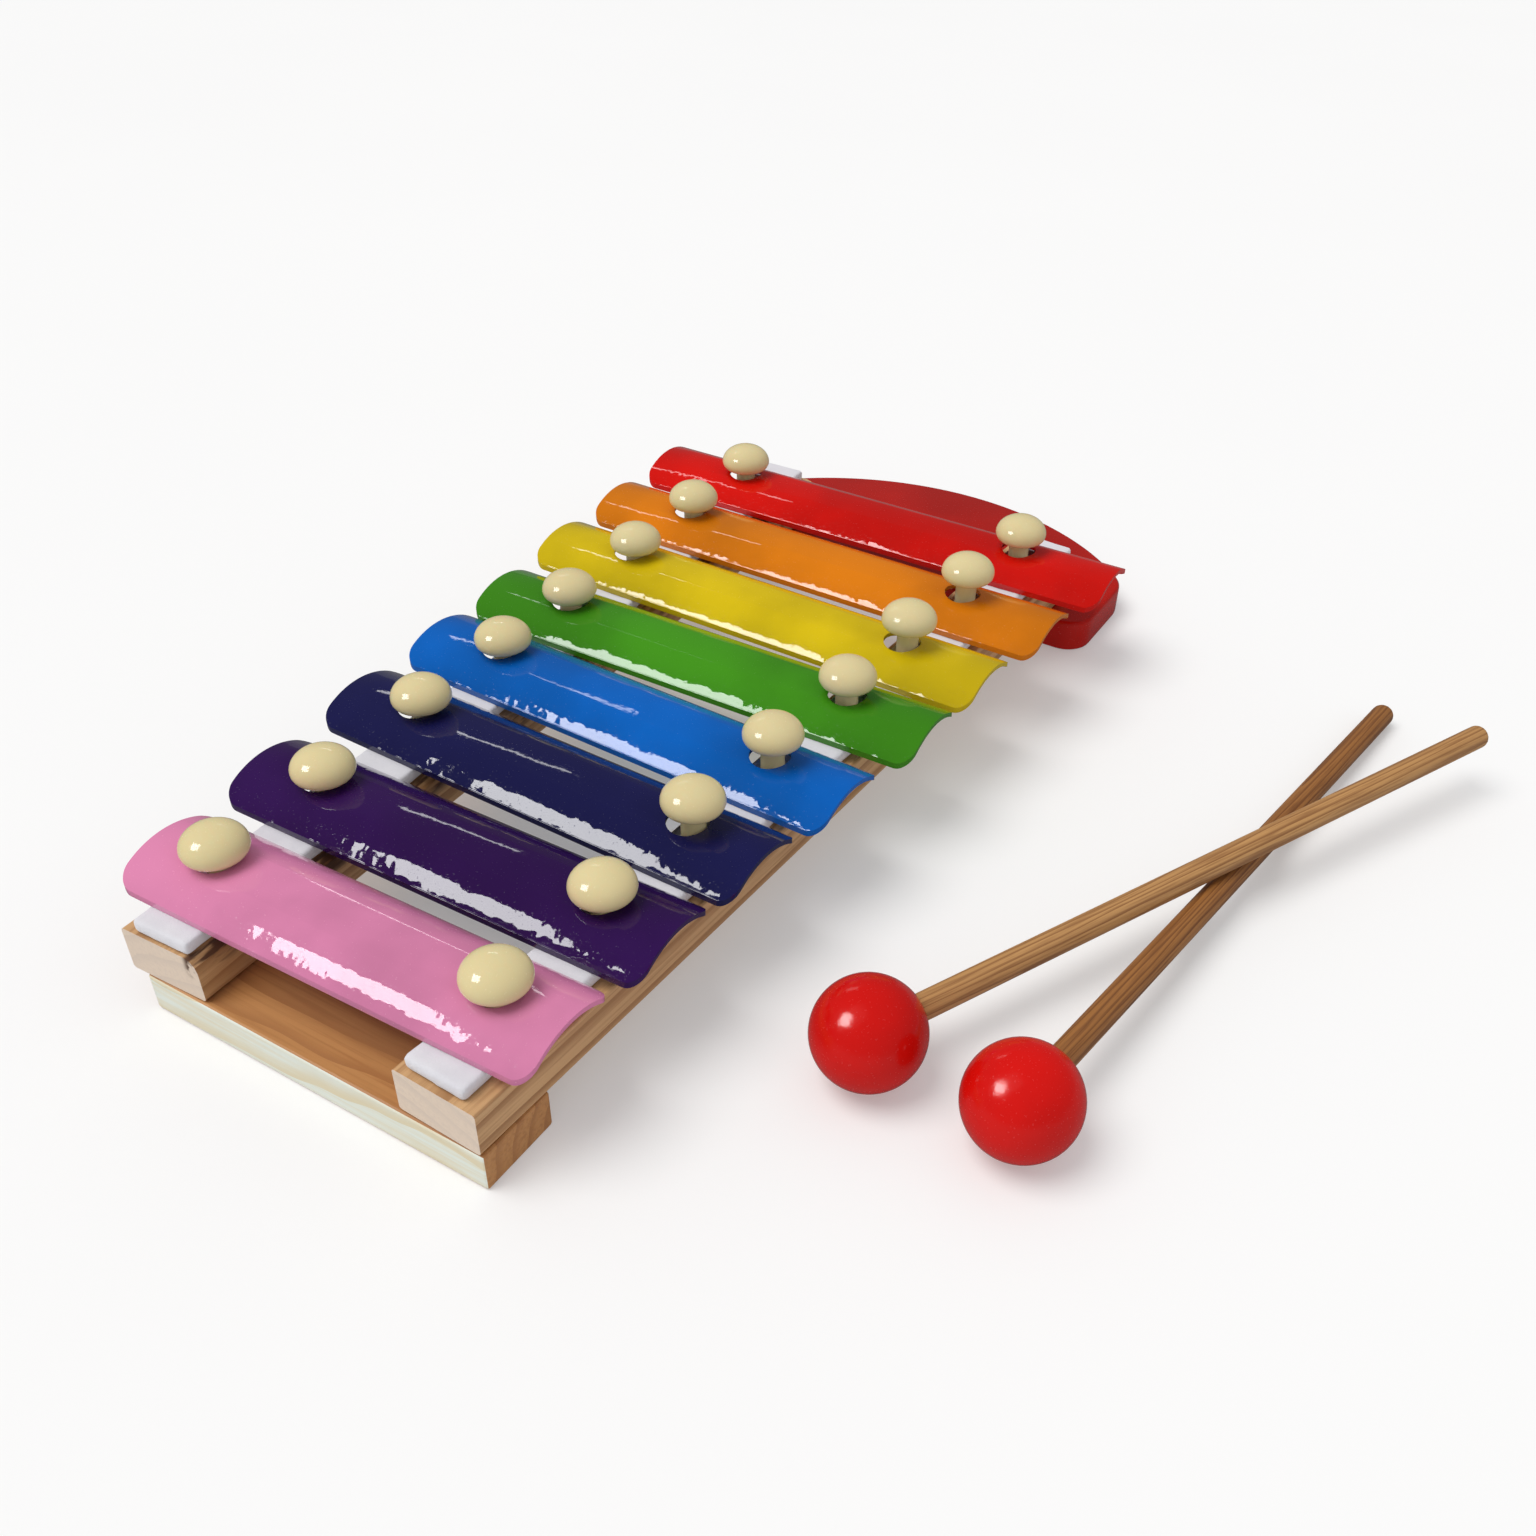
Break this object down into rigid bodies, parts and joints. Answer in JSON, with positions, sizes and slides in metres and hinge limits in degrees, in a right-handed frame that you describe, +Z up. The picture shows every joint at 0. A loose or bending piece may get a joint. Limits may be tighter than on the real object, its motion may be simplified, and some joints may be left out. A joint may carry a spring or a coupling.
{
  "type": "toy xylophone",
  "caption": "Toy xylophone: arched painted metal bars held loosely by mushroom pegs on the felt-topped rails of a tapering wooden frame, with ball-headed mallets lying beside it.",
  "frame": {"origin": "on the table under the middle of the near foot board's depth, on the centre line between the pegs", "axes": "+Z up; +Y from the short bars at the narrow near end to the long bars at the wide far end; +X to the right of a player who sits at the near end"},
  "size_m": [0.2071, 0.245, 0.0347],
  "materials": {
    "paint_pink": "gloss enamel",
    "paint_purple": "gloss enamel",
    "paint_navy": "gloss enamel",
    "paint_blue": "gloss enamel",
    "paint_green": "gloss enamel",
    "paint_yellow": "gloss enamel",
    "paint_orange": "gloss enamel",
    "paint_red": "gloss enamel",
    "ivory_plastic": "moulded, glossy",
    "rail_wood": "clear lacquer, satin",
    "white_felt": "matt felt",
    "pale_pine": "planed, bare",
    "board_red": "gloss paint on wood",
    "zinc_screw": "zinc plated",
    "mallet_red": "gloss paint on a turned ball",
    "bamboo": "smooth, bare"
  },
  "bodies": {
    "frame": {"near_board": "pale_pine", "far_board": "board_red", "rail_left": "rail_wood", "rail_right": "rail_wood", "felt_strip_left": "white_felt", "felt_strip_right": "white_felt", "screw_near_left": "zinc_screw", "screw_near_right": "zinc_screw", "screw_far_left": "zinc_screw", "screw_far_right": "zinc_screw", "peg_pink_left": "ivory_plastic", "peg_pink_right": "ivory_plastic", "peg_purple_left": "ivory_plastic", "peg_purple_right": "ivory_plastic", "peg_navy_left": "ivory_plastic", "peg_navy_right": "ivory_plastic", "peg_blue_left": "ivory_plastic", "peg_blue_right": "ivory_plastic", "peg_green_left": "ivory_plastic", "peg_green_right": "ivory_plastic", "peg_yellow_left": "ivory_plastic", "peg_yellow_right": "ivory_plastic", "peg_orange_left": "ivory_plastic", "peg_orange_right": "ivory_plastic", "peg_red_left": "ivory_plastic", "peg_red_right": "ivory_plastic"},
    "pink_bar": {"bar_pink": "paint_pink"},
    "purple_bar": {"bar_purple": "paint_purple"},
    "navy_bar": {"bar_navy": "paint_navy"},
    "blue_bar": {"bar_blue": "paint_blue"},
    "green_bar": {"bar_green": "paint_green"},
    "yellow_bar": {"bar_yellow": "paint_yellow"},
    "orange_bar": {"bar_orange": "paint_orange"},
    "red_bar": {"bar_red": "paint_red"},
    "lower_mallet": {"mallet_head_lower": "mallet_red", "mallet_stick_lower": "bamboo"},
    "upper_mallet": {"mallet_head_upper": "mallet_red", "mallet_stick_upper": "bamboo"}
  },
  "joints": [
    {"name": "pink_bar_play", "type": "slide", "parent": "frame", "child": "pink_bar", "axis": [0, 0, 1], "range_m": [0, 0.0004]},
    {"name": "purple_bar_play", "type": "slide", "parent": "frame", "child": "purple_bar", "axis": [0, 0, 1], "range_m": [0, 0.0004]},
    {"name": "navy_bar_play", "type": "slide", "parent": "frame", "child": "navy_bar", "axis": [0, 0, 1], "range_m": [0, 0.0007]},
    {"name": "blue_bar_play", "type": "slide", "parent": "frame", "child": "blue_bar", "axis": [0, 0, 1], "range_m": [0, 0.0005]},
    {"name": "green_bar_play", "type": "slide", "parent": "frame", "child": "green_bar", "axis": [0, 0, 1], "range_m": [0, 0.0007]},
    {"name": "yellow_bar_play", "type": "slide", "parent": "frame", "child": "yellow_bar", "axis": [0, 0, 1], "range_m": [0, 0.0009]},
    {"name": "orange_bar_play", "type": "slide", "parent": "frame", "child": "orange_bar", "axis": [0, 0, 1], "range_m": [0, 0.0011]},
    {"name": "red_bar_play", "type": "slide", "parent": "frame", "child": "red_bar", "axis": [0, 0, 1], "range_m": [0, 0.001]},
    {"name": "lower_mallet_lift", "type": "slide", "parent": "frame", "child": "lower_mallet", "axis": [0, 0, 1], "range_m": [0, 0.08]},
    {"name": "upper_mallet_lift", "type": "slide", "parent": "lower_mallet", "child": "upper_mallet", "axis": [0, 0, 1], "range_m": [0, 0.08]}
  ]
}
